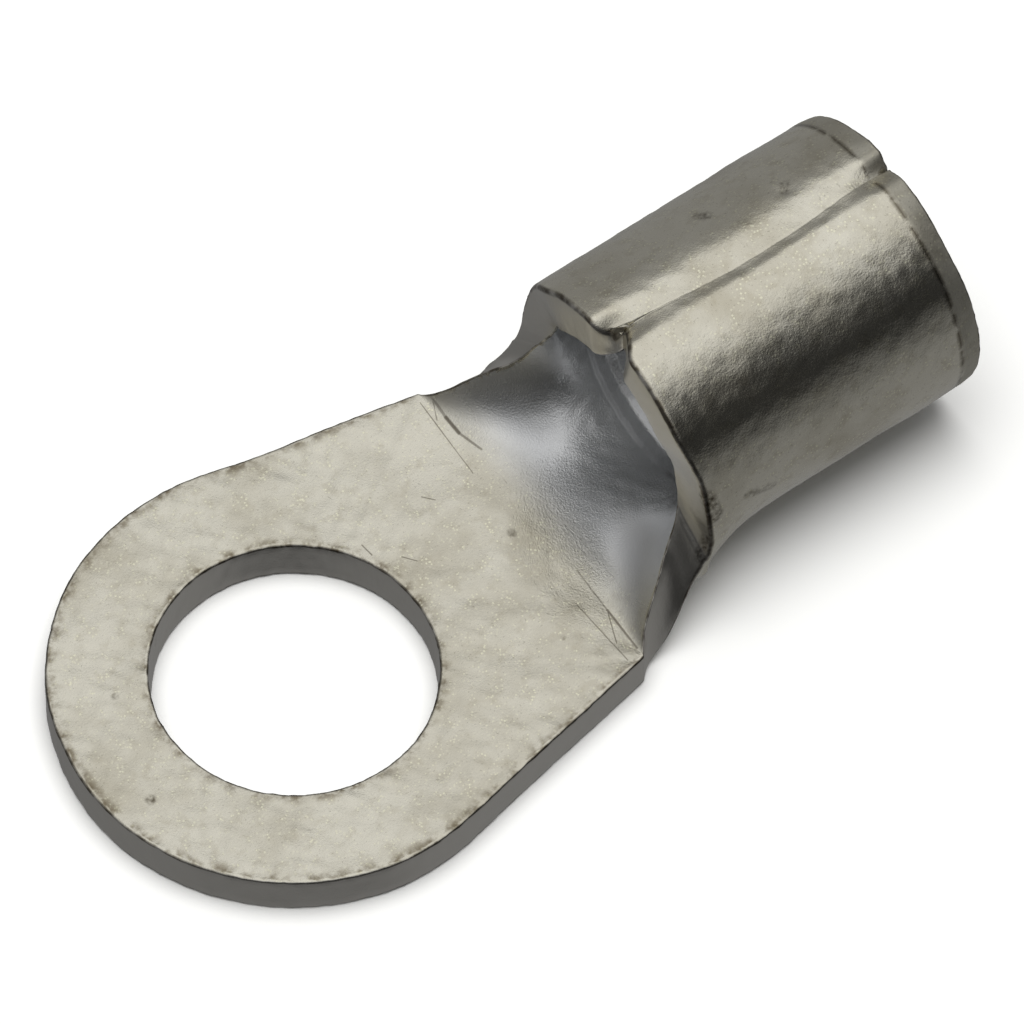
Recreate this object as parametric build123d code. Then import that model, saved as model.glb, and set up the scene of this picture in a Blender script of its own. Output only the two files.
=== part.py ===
from build123d import *
import os
from math import acos, cos, pi, radians, sin, sqrt, tan

# Ring terminal, stamped and rolled in one piece from tinned copper sheet.
# The origin is the stud hole's centre on the tongue's underside. +X runs from the ring to the
# barrel, +Y across the tongue and +Z out of the tongue's top. Lengths are millimetres, angles degrees.

# Sheet
sheet_thickness = 0.9
edge_round = 0.07               # rolled-over rim of the stamped outline and the hole, on the top

# Ring and tongue
hole_diameter = 5.3
ring_diameter = 9.05
flank_angle = 11.04             # each straight side closes in on the middle by this
flank_inset = 0.06              # the sides' lines run this far inside the ring's circle
flank_blend = 6.0               # hollow radius where the ring runs into the sides
tongue_length = 5.3             # from the hole's centre to the crease

# Neck, where the flat tongue turns into the round barrel
neck_length = 1.82              # from the crease to the barrel's front
neck_edge_angle = 47.0          # the neck's cut edge falls outwards by this, across the sheet
neck_edge_turn = 1.0            # length over which the edge turns from upright to that angle
neck_corner_radius = 0.65       # hollow corner between the neck's edge and the barrel's front

# Flare, where the neck's outside is still wider than the barrel that it runs into
flare_height = 0.35             # how far it stands proud at the neck's end
flare_length = 1.5              # and how far along the barrel it dies out
flare_low = 10.0                # it lies between these angles from the bottom, on both sides
flare_high = 100.0
flare_growth = 5                # power of its growth along the neck
flare_fall = 2.5                # and of its fall along the barrel

# Barrel
barrel_diameter = 5.63
barrel_length = 6.3             # from the end of the neck to the back rim
front_side = 0.08               # the wings' front starts this far behind the neck's end at its sides
front_lean = 0.04               # and leans forward by this slope towards the seam
back_bevel_length = 0.45
back_bevel_depth = 0.07

# Seam, a closed joint at the bottom of a shallow valley along the barrel's top
seam_width = 0.9
seam_depth = 0.36
seam_side = 0.08                # the valley's middle lies this far to +Y
seam_floor_side = -0.02         # and its floor, where the wings meet, this far
seam_floor_width = 0.14
seam_lip_radius = 0.12
wing_corner_radius = 0.4        # the wings' corners are rounded back by this at the barrel's front
wing_gap = 0.04                 # and stand this far apart there

# Grooves across the bore, which bite into the wire
groove_count = 3
groove_width = 0.45
groove_depth = 0.1
groove_pitch = 1.5
groove_first = 0.85             # from the barrel's front to the first groove's near side

# Derived places
ring_radius = ring_diameter / 2
hole_radius = hole_diameter / 2
barrel_radius = barrel_diameter / 2
bore_radius = barrel_radius - sheet_thickness
neck_end = tongue_length + neck_length
barrel_back = neck_end + barrel_length
flank_slope = radians(flank_angle)
flank_distance = ring_radius - flank_inset
crease_half_width = flank_distance / cos(flank_slope) - tongue_length * tan(flank_slope)
edge_slope = radians(neck_edge_angle)
barrel_front = neck_end + front_side - front_lean * barrel_diameter * sin(edge_slope)
edge_level = crease_half_width * sin(edge_slope) + sheet_thickness * cos(edge_slope)
flat_share = 0.002              # bend at the crease, as a share of the barrel's: flat, but still an arc
beyond = 2 * barrel_diameter    # cutting solids reach this far past the sheet
outside_reach = 115             # at the neck's end its faces are bent round to these angles, and stand
inside_reach = 140              # upright from there on, outside the cut edges
flare_sunk = 0.04               # the flare's rims lie this far under the barrel's face


def tongue():
    """Flat ring and tongue, up to the crease, with the stud hole."""
    foot = (flank_distance * sin(flank_slope), flank_distance * cos(flank_slope))
    end = (tongue_length, crease_half_width)
    flanks = make_face(Polyline(foot, end, (end[0], -end[1]), (foot[0], -foot[1]), close=True))
    outline = Circle(ring_radius) + flanks
    joins = [v for v in outline.vertices() if foot[0] < v.X < tongue_length - edge_round]
    outline = fillet(joins, flank_blend) - Circle(hole_radius)
    plate = extrude(outline, sheet_thickness)
    rims = [e for e in plate.edges().group_by(Axis.Z)[-1] if e.center().X < tongue_length - edge_round]
    return fillet(rims, edge_round)


def neck_place(share):
    """X where the bend has grown to this share of the barrel's."""
    return tongue_length + (share - flat_share) / (1 - flat_share) * neck_length


def trough_section(radius, floor, top, share, reach):
    """Face across the neck: a floor bent to an arc, with upright sides up to the top."""
    x = neck_place(share)
    bent = radius / share
    angle = reach / bent
    side = bent * sin(angle)
    height = floor + bent * (1 - cos(angle))
    arc = ThreePointArc((x, -side, height), (x, 0, floor), (x, side, height))
    sides = Polyline((x, side, height), (x, side, top), (x, -side, top), (x, -side, height))
    return Face(Wire([arc] + sides.edges()))


def trough(radius, floor, top, flat_reach, round_reach):
    """Solid above one face of the neck's sheet, from flat at the crease to the barrel's roundness."""
    shares = (flat_share, 0.25, 0.5, 0.75, 1.0)
    return loft([trough_section(radius, floor, top, s, flat_reach + (round_reach - flat_reach) * s)
                 for s in shares])


def edge_corner(share):
    """(y, z) where the neck's cut edge meets the bent sheet's upper face."""
    bent = bore_radius / share
    angle = acos(((sheet_thickness + bent) * cos(edge_slope) - edge_level) / bent) - edge_slope
    return bent * sin(angle), sheet_thickness + bent * (1 - cos(angle))


def turning_edge_section(share):
    """Face across the space outside the neck's cut edge, while the edge turns from upright."""
    x = neck_place(share)
    turned = (x - tongue_length) / neck_edge_turn
    slope = radians(90 - (90 - neck_edge_angle) * turned)
    y, z = edge_corner(share)
    along, out = Vector(0, cos(slope), -sin(slope)), Vector(0, sin(slope), cos(slope))
    over, under = Vector(x, y, z) - along * 3 * sheet_thickness, Vector(x, y, z) + along * 3 * sheet_thickness
    return Face(Wire(Polyline(over, under, under + out * beyond, over + out * beyond, close=True).edges()))


def turning_edge_space():
    """Space outside the neck's +Y edge, from the crease to where the edge has turned."""
    end_share = flat_share + neck_edge_turn / neck_length * (1 - flat_share)
    return loft([turning_edge_section(flat_share + (end_share - flat_share) * s)
                 for s in (0, 0.25, 0.5, 0.75, 1)])


def straight_edge_space():
    """Space outside the rest of the +Y edge, round its corner and up the front of the wing."""
    start = tongue_length + neck_edge_turn / 2
    front = neck_end + front_side
    side = make_face(Polyline(
        (start, edge_level), (front, edge_level),
        (front, edge_level + beyond), (start, edge_level + beyond), close=True))
    corner = [v for v in side.vertices() if v.X > start and v.Y < edge_level + beyond / 2]
    side = fillet(corner, neck_corner_radius)
    across = Plane(origin=(0, 0, 0), x_dir=(1, 0, 0), z_dir=(0, -cos(edge_slope), sin(edge_slope)))
    along = Vector(front_lean, cos(edge_slope), -sin(edge_slope))
    return extrude(across * side, beyond, dir=along, both=True)


def neck():
    """Sheet between the crease and the barrel, wider than its two cut edges."""
    top = 1.5 * barrel_radius
    outer = trough(barrel_radius, 0, top, crease_half_width + sheet_thickness,
                   barrel_radius * radians(outside_reach))
    inner = trough(bore_radius, sheet_thickness, top + sheet_thickness,
                   crease_half_width + 2 * sheet_thickness, bore_radius * radians(inside_reach))
    return outer - inner


def flare_section(x, share, height):
    """Face across the +Y flare where the sheet is bent by this share, from inside the wall outwards."""
    bent = barrel_radius / share
    across = Plane(origin=(x, 0, bent), x_dir=(0, 1, 0), z_dir=(1, 0, 0))
    points = []
    for i in range(9):
        angle = share * radians(flare_low + (flare_high - flare_low) * i / 8)
        out = bent - flare_sunk + height * sin(pi * i / 8) ** 2
        points.append((out * sin(angle), -out * cos(angle)))
    middle = share * radians(flare_low + flare_high) / 2
    depth = bent - sheet_thickness / 2
    back = ThreePointArc(points[-1], (depth * sin(middle), -depth * cos(middle)), points[0])
    return across * make_face(Spline(points).edges() + back.edges())


def flares():
    """Swellings of the two sides, where the neck's outside runs on into the barrel."""
    on_neck = [flare_section(neck_place(s), s, flare_height * s ** flare_growth) for s in (0.55, 0.7, 0.85)]
    on_barrel = [flare_section(neck_end + t * flare_length, 1, flare_height * (1 - t) ** flare_fall)
                 for t in (0, 0.25, 0.5, 0.75, 1)]
    flare = loft(on_neck + on_barrel[:1]) + loft(on_barrel)
    return flare + mirror(flare, about=Plane.XZ)


def seam_valley():
    """Valley's outline across the barrel, with its floor and open above."""
    floor = barrel_diameter - seam_depth
    lips = [seam_side + seam_width / 2, seam_side - seam_width / 2]
    left, right = [(y, barrel_radius + sqrt(barrel_radius ** 2 - y ** 2)) for y in lips]
    half = seam_floor_width / 2
    corners = [left, (seam_floor_side + half, floor), (seam_floor_side - half, floor), right]
    above = [(right[0], barrel_diameter + seam_depth), (left[0], barrel_diameter + seam_depth)]
    return make_face(Polyline(corners + above, close=True))


def barrel_section():
    """Wall across the barrel, with the seam's valley and its rounded lips."""
    ring = Pos(0, barrel_radius) * (Circle(barrel_radius) - Circle(bore_radius))
    wall = ring - seam_valley()
    lips = [v for v in wall.vertices() if v.Y > barrel_diameter - seam_depth / 2]
    return fillet(lips, seam_lip_radius)


def bevelled_round():
    """Solid of revolution that the barrel is turned down to, with the bevel of its back rim."""
    proud = sheet_thickness
    start = neck_end - neck_length
    outline = make_face(Polyline(
        (start, 0), (start, barrel_radius + proud),
        (barrel_back - back_bevel_length * (1 + proud / back_bevel_depth), barrel_radius + proud),
        (barrel_back, barrel_radius - back_bevel_depth), (barrel_back, 0), close=True))
    return Pos(0, 0, barrel_radius) * revolve(outline, Axis.X)


def barrel():
    """Round barrel: a rolled wall with its seam, the back rim's bevel and the grooves in its bore."""
    section = barrel_section()
    across = Plane(origin=(neck_end, 0, 0), x_dir=(0, 1, 0), z_dir=(1, 0, 0))
    wall = extrude(across * section, barrel_length) & bevelled_round()
    groove = Circle(bore_radius + groove_depth) - Circle(bore_radius - groove_depth)
    for i in range(groove_count):
        near = Plane(origin=(neck_end + groove_first + i * groove_pitch, 0, barrel_radius),
                     x_dir=(0, 1, 0), z_dir=(1, 0, 0))
        wall = wall - extrude(near * groove, groove_width)
    wings = section & Pos(0, barrel_diameter) * Rectangle(beyond, barrel_diameter - bore_radius)
    return wall + extrude(across * wings, barrel_front - edge_round - neck_end)


def wing_corners():
    """Space in front of the rounded corners where the two wings meet at the barrel's front."""
    reach = wing_corner_radius + wing_gap / 2
    opening = Pos(barrel_front, seam_floor_side) * Rectangle(2 * wing_corner_radius, 2 * reach)
    for side in (-1, 1):
        opening = opening - Pos(barrel_front + wing_corner_radius, seam_floor_side + side * reach) * Circle(
            wing_corner_radius)
    return extrude(Pos(0, 0, barrel_radius) * opening, barrel_diameter)


def rolled_sheet():
    """Neck and barrel, trimmed to the neck's cut edges and the wings' front."""
    sheet = neck() + barrel() + flares()
    for space in (turning_edge_space(), straight_edge_space()):
        sheet = sheet - space - mirror(space, about=Plane.XZ)
    return sheet - wing_corners()


ring_terminal = tongue() + rolled_sheet()

os.makedirs("parts", exist_ok=True)
export_step(ring_terminal, "parts/ring_terminal.step")
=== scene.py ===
import logging
from dataclasses import dataclass, field
from enum import Enum
from math import atan2, cos, pi, radians, sin, sqrt

import bmesh
import bpy
import numpy as np
from mathutils import Matrix, Vector


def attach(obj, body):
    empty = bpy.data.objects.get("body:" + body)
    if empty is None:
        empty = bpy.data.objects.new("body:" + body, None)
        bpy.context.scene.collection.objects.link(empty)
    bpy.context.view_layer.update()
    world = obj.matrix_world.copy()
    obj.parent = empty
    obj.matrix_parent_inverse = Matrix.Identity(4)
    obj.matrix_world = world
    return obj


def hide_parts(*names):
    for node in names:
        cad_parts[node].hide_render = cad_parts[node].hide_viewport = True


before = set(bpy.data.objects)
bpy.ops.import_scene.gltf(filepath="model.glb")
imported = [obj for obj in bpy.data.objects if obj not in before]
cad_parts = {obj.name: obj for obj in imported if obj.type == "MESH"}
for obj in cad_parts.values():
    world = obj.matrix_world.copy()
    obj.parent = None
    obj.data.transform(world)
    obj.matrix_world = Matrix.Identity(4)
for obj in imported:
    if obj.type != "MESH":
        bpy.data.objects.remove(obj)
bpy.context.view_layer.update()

# Looks of an uninsulated crimp ring terminal: copper sheet, stamped, rolled to a barrel and tin-plated.
# Lengths in the classes are millimetres, and angles are degrees, except where a name or a docstring
# says otherwise. +X runs from the ring to the barrel, +Y across the tongue and +Z out of its top. The
# origin is the stud hole's centre on the tongue's underside.

MM = 0.001
Array = np.ndarray
Socket = bpy.types.NodeSocket
logger = logging.getLogger("ring_terminal")


def linear(hex_colour: str) -> tuple[float, float, float, float]:
    """Turns an sRGB hex colour to linear light.

    Args:
        hex_colour: Six hex digits, such as "c8c6bd".

    Returns:
        Red, green, blue and an alpha of 1.
    """
    shares = [int(hex_colour[i:i + 2], 16) / 255 for i in (0, 2, 4)]
    red, green, blue = [c / 12.92 if c <= 0.04045 else ((c + 0.055) / 1.055) ** 2.4 for c in shares]
    return red, green, blue, 1.0


def smooth(value: Array, low: float, high: float) -> Array:
    """Rises smoothly from 0 at low to 1 at high.

    Args:
        value: Where to read the curve.
        low: Where the rise starts.
        high: Where it ends.

    Returns:
        The share of the rise, the same shape as value.
    """
    t = np.clip((np.asarray(value, float) - low) / (high - low), 0, 1)
    return t * t * (3 - 2 * t)


def near(value: Array, middle: float, width: float) -> Array:
    """Gives a smooth hump of height 1.

    Args:
        value: Where to read the hump.
        middle: Where it is highest.
        width: Its half-width, where it has fallen to about a third.

    Returns:
        The hump's height, the same shape as value.
    """
    return np.exp(-((np.asarray(value, float) - middle) / width) ** 2)


class Face(Enum):
    """The sheet's two faces: inside the barrel, which is also the tongue's top, and outside."""

    INSIDE = "inside"
    OUTSIDE = "outside"


class Waves:
    """Smooth random unevenness in space, from sine waves of about one size."""

    variety = (0.6, 1.5)

    def __init__(self, size: float, seed: int, count: int = 28) -> None:
        """Draws the waves.

        Args:
            size: Length of a typical wave.
            seed: Seed of the random draws.
            count: How many waves are added up.
        """
        draws = np.random.default_rng(seed)
        headings = draws.normal(size=(count, 3))
        headings /= np.linalg.norm(headings, axis=1, keepdims=True)
        self.headings = headings * 2 * pi / size * draws.uniform(*self.variety, (count, 1))
        self.starts = draws.uniform(0, 2 * pi, count)

    def __call__(self, points: Array) -> Array:
        """Reads the unevenness.

        Args:
            points: Places, with x, y, z in the last axis.

        Returns:
            Heights of about 1, one for each place.
        """
        return np.sin(points @ self.headings.T + self.starts).sum(-1) * sqrt(2 / len(self.starts))


@dataclass(frozen=True)
class Rim:
    """How a cut edge is rounded where it meets the sheet's two faces."""

    upper: float = 0.05
    under: float = 0.10
    steps: int = 4
    wall_steps: int = 5

    def across(self, face: Array, corner: Array, far_corner: Array, far_face: Array) -> Array:
        """Runs from one face of the sheet over a cut edge to the other face.

        Args:
            face: Where the upper face ends, one row of points.
            corner: The upper face's sharp corner with the cut, in the same order.
            far_corner: The other face's sharp corner.
            far_face: Where the other face ends.

        Returns:
            Points with the steps across the edge in the first axis.
        """
        down = far_corner - corner
        down /= np.linalg.norm(down, axis=-1, keepdims=True)
        start, end = corner + down * self.upper, far_corner - down * self.under
        turn = np.linspace(0, 1, self.steps + 1)[:, None, None]
        wall = np.linspace(0, 1, self.wall_steps + 1)[1:-1, None, None]
        over = (1 - turn) ** 2 * face + 2 * turn * (1 - turn) * corner + turn ** 2 * start
        under = (1 - turn) ** 2 * end + 2 * turn * (1 - turn) * far_corner + turn ** 2 * far_face
        return np.concatenate([over, start + (end - start) * wall, under])


class Skin:
    """Grids of points that share their borders, and become one mesh.

    It is closed but for a small step in the notch where the seam starts, one face wide on each side.
    """

    labels = ("cut_face", "rim", "stretched", "border")
    rolled_rows = 2
    dark_rows = (1, 4)
    stretch_start = 5.2
    stretch_full = 6.4
    # Stretch of the ring's outer edge that catches the highlight, by direction, width and least distance from
    # the hole.
    highlight_gap_direction = -125
    highlight_gap_width = 22
    highlight_gap_beyond = 4
    merge_distance = 2e-4
    shortest_edge = 1e-4

    def __init__(self) -> None:
        """Starts with no points."""
        self.points: list[Array] = []
        self.marks: dict[str, list[Array]] = {label: [] for label in self.labels}
        self.faces: list[Array] = []
        self.count = 0

    def grid(self, points: Array, closed: bool = False, is_cut: bool = False,
             is_inside: bool = False, border: Array | float = 0.0) -> None:
        """Adds a grid of four-sided faces.

        Args:
            points: Rows and columns of places in millimetres.
            closed: True if the last column meets the first.
            is_cut: True for a cut face of the sheet, whose first and last rows lie on rolled faces.
            is_inside: True for the face inside the neck and barrel, which forming has stretched.
            border: 1 where handling has darkened a face along its edges, falling to 0 away from them.
        """
        rows, columns = points.shape[:2]
        index = self.count + np.arange(rows * columns).reshape(rows, columns)
        if closed:
            index = np.concatenate([index, index[:, :1]], axis=1)
        corners = (index[:-1, :-1], index[1:, :-1], index[1:, 1:], index[:-1, 1:])
        self.faces.append(np.stack(corners, axis=-1).reshape(-1, 4))
        self.points.append(points.reshape(-1, 3))
        cut, rim = np.zeros((rows, columns)), np.zeros((rows, columns))
        if is_cut:
            cut[self.rolled_rows:-self.rolled_rows] = 1
            # The dark edge line is left out where the ring's outer edge catches its highlight.
            dark = 1 - self.highlight_gap(points)
            first, last = self.dark_rows
            rim[first:last], rim[-last:-first] = dark[first:last], dark[-last:-first]
        self.marks["cut_face"].append(cut.ravel())
        self.marks["rim"].append(rim.ravel())
        stretched = smooth(points[..., 0].ravel(), self.stretch_start, self.stretch_full)
        self.marks["stretched"].append(is_inside * stretched)
        self.marks["border"].append((border + np.zeros((rows, columns))).ravel())
        self.count += rows * columns

    def highlight_gap(self, points: Array) -> Array:
        """Tells how far places belong to the stretch of the ring's outer edge where its reflected highlight
        falls and the dark edge line is left out.

        Args:
            points: Places in millimetres.

        Returns:
            Shares from 0 to 1, one for each place.
        """
        turn = np.degrees(np.arctan2(points[..., 1], points[..., 0]))
        away = np.hypot(points[..., 0], points[..., 1])
        return near(turn, self.highlight_gap_direction, self.highlight_gap_width) * (away > self.highlight_gap_beyond)

    def shake(self, unevenness: "Unevenness") -> None:
        """Moves every point as the sheet's unevenness does."""
        self.points = [points + unevenness.shift(points, cut)
                       for points, cut in zip(self.points, self.marks["cut_face"])]

    def piece(self, name: str) -> bpy.types.Object:
        """Makes the mesh object.

        Args:
            name: The object's name.

        Returns:
            The object, in metres, with one mesh whose grids are joined.
        """
        mesh = bpy.data.meshes.new(name)
        mesh.from_pydata(np.concatenate(self.points) * MM, [], np.concatenate(self.faces).tolist())
        for label, values in self.marks.items():
            mark = mesh.attributes.new(label, "FLOAT", "POINT")
            mark.data.foreach_set("value", np.concatenate(values).astype(np.float32))
        work = bmesh.new()
        work.from_mesh(mesh)
        bmesh.ops.remove_doubles(work, verts=work.verts, dist=self.merge_distance * MM)
        bmesh.ops.dissolve_degenerate(work, edges=work.edges, dist=self.shortest_edge * MM)
        bmesh.ops.recalc_face_normals(work, faces=work.faces)
        work.to_mesh(mesh)
        open_edges = sum(1 for edge in work.edges if len(edge.link_faces) != 2)
        work.free()
        mesh.polygons.foreach_set("use_smooth", [True] * len(mesh.polygons))
        logger.info("%s: %d faces, %d open edges", name, len(mesh.polygons), open_edges)
        thing = bpy.data.objects.new(name, mesh)
        bpy.context.scene.collection.objects.link(thing)
        return thing


@dataclass
class Unevenness:
    """How far the real sheet is from true: long waves, small bumps, ragged cuts and dents.

    A dent is its middle's x, y and z, its size and its depth.
    """

    roll_radius: float = 2.815
    long_height: float = 0.004
    long_size: float = 1.5
    long_seed: int = 10
    short_height: float = 0.0026
    short_size: float = 0.36
    short_seed: int = 20
    neck_calm: float = 0.9
    neck_place: tuple[float, float] = (5.9, 1.3)
    ragged_height: float = 0.0022
    ragged_size: float = 0.16
    ragged_seed: int = 30
    dents: tuple[tuple[float, float, float, float, float], ...] = (
        (10.12, 1.25, 5.34, 0.16, 0.03), (11.54, 0.73, 5.53, 0.12, 0.03), (11.7, 0.95, 5.45, 0.08, 0.02),
        (9.95, 1.42, 5.25, 0.08, 0.02), (8.6, -1.5, 5.2, 0.1, 0.015), (10.9, -0.9, 5.5, 0.1, 0.015))

    def shift(self, points: Array, cut: Array) -> Array:
        """Finds how far points are moved.

        Args:
            points: Places in millimetres.
            cut: 1 for the points of a cut face and 0 for the others.

        Returns:
            The moves, one for each point.
        """
        move = np.zeros_like(points)
        rolled = self.short_height * (1 - self.neck_calm * near(points[:, 0], *self.neck_place))
        for axis in range(3):
            move[:, axis] += self.long_height * Waves(self.long_size, self.long_seed + axis)(points)
            move[:, axis] += rolled * Waves(self.short_size, self.short_seed + axis)(points)
            ragged = Waves(self.ragged_size, self.ragged_seed + axis)(points)
            move[:, axis] += self.ragged_height * cut * ragged
        for x, y, z, size, depth in self.dents:
            away = np.linalg.norm(points - (x, y, z), axis=1)
            out = np.array([0, y, z - self.roll_radius]) / sqrt(y * y + (z - self.roll_radius) ** 2)
            move -= depth * near(away, 0, size)[:, None] * out
        return move


@dataclass(frozen=True)
class Seam:
    """Closed joint of the two wings along the barrel's top, in a shallow valley that leans to one side."""

    side: float = -0.1
    bow: float = 0.0245
    straightest: float = 10.4
    left_width: float = 0.57
    left_taper: float = 0.17
    right_width: float = 0.40
    depth: float = 0.08
    end_depth: float = 0.16
    front_end: tuple[float, float] = (7.2, 8.2)
    back_end: tuple[float, float] = (12.3, 13.4)
    taper: tuple[float, float] = (12.2, 13.4)
    joint_width: float = 0.028
    joint_depth: float = 0.006
    open_depth: float = 0.2
    open_front: tuple[float, float] = (7.4, 7.7)
    open_back: tuple[float, float] = (13.15, 13.42)

    def line(self, x: Array) -> Array:
        """How far to +Y the wings meet at x."""
        return self.side + self.bow * (x - self.straightest) ** 2

    def valley(self, x: Array, across: Array) -> Array:
        """Finds how deep the valley and its joint are.

        Args:
            x: Places along the part.
            across: Distances to +Y from the barrel's middle plane.

        Returns:
            Depths in millimetres.
        """
        middle = self.line(x)
        offset = across - middle
        left = self.left_width - self.left_taper * smooth(x, *self.taper) - middle
        right = self.right_width + middle
        slope = np.clip(np.where(offset > 0, offset / left, -offset / right), 0, 1)
        depth = self.depth + self.end_depth * (1 - smooth(x, *self.front_end) + smooth(x, *self.back_end))
        opening = 1 - smooth(x, *self.open_front) + smooth(x, *self.open_back)
        joint = self.joint_depth + self.open_depth * opening
        return depth * (1 - smooth(slope, 0.0, 1.0)) + joint * near(offset, 0, self.joint_width)


@dataclass(frozen=True)
class BackBevel:
    """How far the outside is drawn in towards the barrel's back rim, more at some places round it."""

    length: float = 0.45
    depth: float = 0.035
    turn_in: float = 1.7
    worn: tuple[float, float, float] = (0.085, -34, 16)
    proud: tuple[float, float, float] = (-0.075, 12, 8)

    def drop(self, before_back: Array, top: Array) -> Array:
        """Finds how far the outside is drawn in.

        Args:
            before_back: Distances from the back rim.
            top: Degrees from the top, positive to +Y.

        Returns:
            Depths in millimetres.
        """
        near_rim = np.clip((self.length - before_back) / self.length, 0, 1)
        rim = self.depth
        for depth, middle, width in (self.worn, self.proud):
            rim = rim + depth * near(top, middle, width)
        return rim * near_rim ** self.turn_in


@dataclass
class RolledSheet:
    """Neck and barrel: the sheet from the crease to the back rim, as two faces bent to arcs.

    A place on a face is given by its x and its angle from the bottom, which is positive on +Y.
    """

    thickness: float = 0.9
    crease: float = 5.3
    neck_end: float = 7.12
    back: float = 13.42
    outer_radius: float = 2.815
    flat_half_width: float = 3.515
    edge_angle: float = 47.0
    edge_turn: float = 1.3
    edge_swell: float = 0.07
    corner_radius: float = 0.65
    front: float = 7.05
    flare_height: float = 0.35
    flare_length: float = 1.9
    flare_lean: float = 0.2
    groove_depth: float = 0.1
    groove_width: float = 0.45
    groove_starts: tuple[float, ...] = (7.92, 9.42, 10.92)
    groove_side: float = 0.07
    soft_edge: float = 0.02
    soft_middle: float = 0.45
    late_middle: float = 0.5
    early_end: float = 0.25
    least_share: float = 0.002
    flat_middle: float = 0.9
    flat_part: float = 0.4
    flat_until: tuple[float, float] = (5.9, 7.0)
    edge_taper: float = 0.48
    swell_start: float = 0.15
    swell_length: float = 1.4
    wing_angles: tuple[float, float] = (90, 130)
    flare_angles: tuple[float, float] = (10, 95)
    flare_rise: float = 5
    flare_fade: float = 2.2
    seam_reach: float = 40
    seam_clear: float = 1.0
    seam_start: float = 0.25
    seam_notch: float = 0.38
    set_back: float = 0.15
    set_back_angles: tuple[float, float] = (45, 75)
    forward: float = 0.08
    forward_start: float = 8
    forward_angles: tuple[float, float] = (40, 60)
    notch_angles: tuple[float, float] = (9, 17)
    notch_blunt: float = 0.06
    notch_flat: float = 0.05
    flat_front: float = 60
    first_steps: tuple[float, ...] = (
        0.15, 0.15, 0.15, 0.2, 0.25, 0.3, 0.4, 0.5, 0.6, 0.7, 0.8, 0.9, 1.0, 1.1, 1.2)
    last_step: float = 1.4
    last_steps: int = 58
    seam: Seam = Seam()
    bevel: BackBevel = BackBevel()
    columns: int = 112
    neck_rows: int = 34
    row_bow: float = 6
    barrel_rows: int = 92
    crowding: float = 0.6
    settled: float = 0.15
    longest_cut: float = 2.6
    halvings: int = 40

    @property
    def bore_radius(self) -> float:
        """Radius inside the barrel."""
        return self.outer_radius - self.thickness

    @property
    def edge_level(self) -> float:
        """Height of the neck's edge above the origin, across its slanted cut."""
        slope = radians(self.edge_angle)
        return self.flat_half_width * sin(slope) + self.thickness * cos(slope)

    def share(self, x: Array) -> Array:
        """Bend at x as a share of the barrel's."""
        return np.clip((x - self.crease) / (self.neck_end - self.crease), self.least_share, 1)

    def bend(self, x: Array, angle: Array, radius: float) -> tuple[Array, Array]:
        """Finds how a face is bent where it starts softly, at the crease, and where the wings lean on.

        Args:
            x: Places along the part.
            angle: Angles from the bottom of a face with the same bend all across, in radians.
            radius: The face's radius in the barrel.

        Returns:
            The face's radius at each place and the angle there.
        """
        share = self.share(x)
        arc = np.abs(angle) * radius / share
        inward = np.clip(1 - (arc / self.flat_half_width) ** 2, 0, 1)
        soft = self.soft_edge + self.soft_middle * inward
        past = np.clip(x - self.crease, 0, None)
        ramp = np.where(past < 2 * soft, past ** 2 / (4 * soft), past - soft)
        bent = ramp / (self.neck_end + self.late_middle * inward - self.crease - soft)
        soft = self.soft_edge + self.early_end * inward
        bent = np.where(bent < 1 - soft, bent, 1 - np.clip(1 + soft - bent, 0, None) ** 2 / (4 * soft))
        bent = np.clip(bent, self.least_share, 1)
        wing = self.wing(angle)
        return radius / (bent + (1 - bent) * wing), angle * (bent / share * (1 - wing) + wing)

    def rise(self, x: Array, angle: Array) -> Array:
        """Finds how much of the plain arc's height a place has.

        Args:
            x: Places along the part.
            angle: Angles from the bottom, in radians.

        Returns:
            Shares, less than 1 near the crease, where the middle stays flat and the sides turn up sharply.
        """
        width = self.flat_half_width - self.edge_taper * np.clip(x - self.crease, 0, None)
        reach = np.abs(angle) * self.bore_radius / self.share(x) / width
        flat = self.flat_middle * (1 - smooth(x, *self.flat_until))
        return 1 - flat * (1 - smooth(reach, self.flat_part, 1.0))

    def wing(self, angle: Array) -> Array:
        """Tells how far a place belongs to the wings, which have the barrel's bend even at its front."""
        return smooth(np.degrees(np.abs(angle)), *self.wing_angles)

    def arc_share(self, x: Array, angle: Array) -> Array:
        """The bend as a share of the barrel's, by which an arc's length turns to an angle."""
        share, wing = self.share(x), self.wing(angle)
        return share + (1 - share) * wing

    def inside(self, x: Array, angle: Array) -> Array:
        """Finds places on the face inside.

        Args:
            x: Places along the part.
            angle: Angles from the bottom, in radians.

        Returns:
            Points with x, y, z in the last axis.
        """
        rise = self.rise(x, angle)
        bent, angle = self.bend(x, angle, self.bore_radius)
        side, width = self.groove_side, self.groove_width
        sunk = sum(self.groove_depth * smooth(x, start, start + side)
                   * (1 - smooth(x, start + width - side, start + width)) for start in self.groove_starts)
        out = bent + sunk
        return np.stack([x + 0 * angle, out * np.sin(angle),
                         self.thickness + (bent - out * np.cos(angle)) * rise], axis=-1)

    @staticmethod
    def from_top(angle: Array) -> Array:
        """Degrees from the top, positive to +Y, of an angle from the bottom in radians."""
        return np.degrees(np.arctan2(np.sin(angle), -np.cos(angle)))

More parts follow.
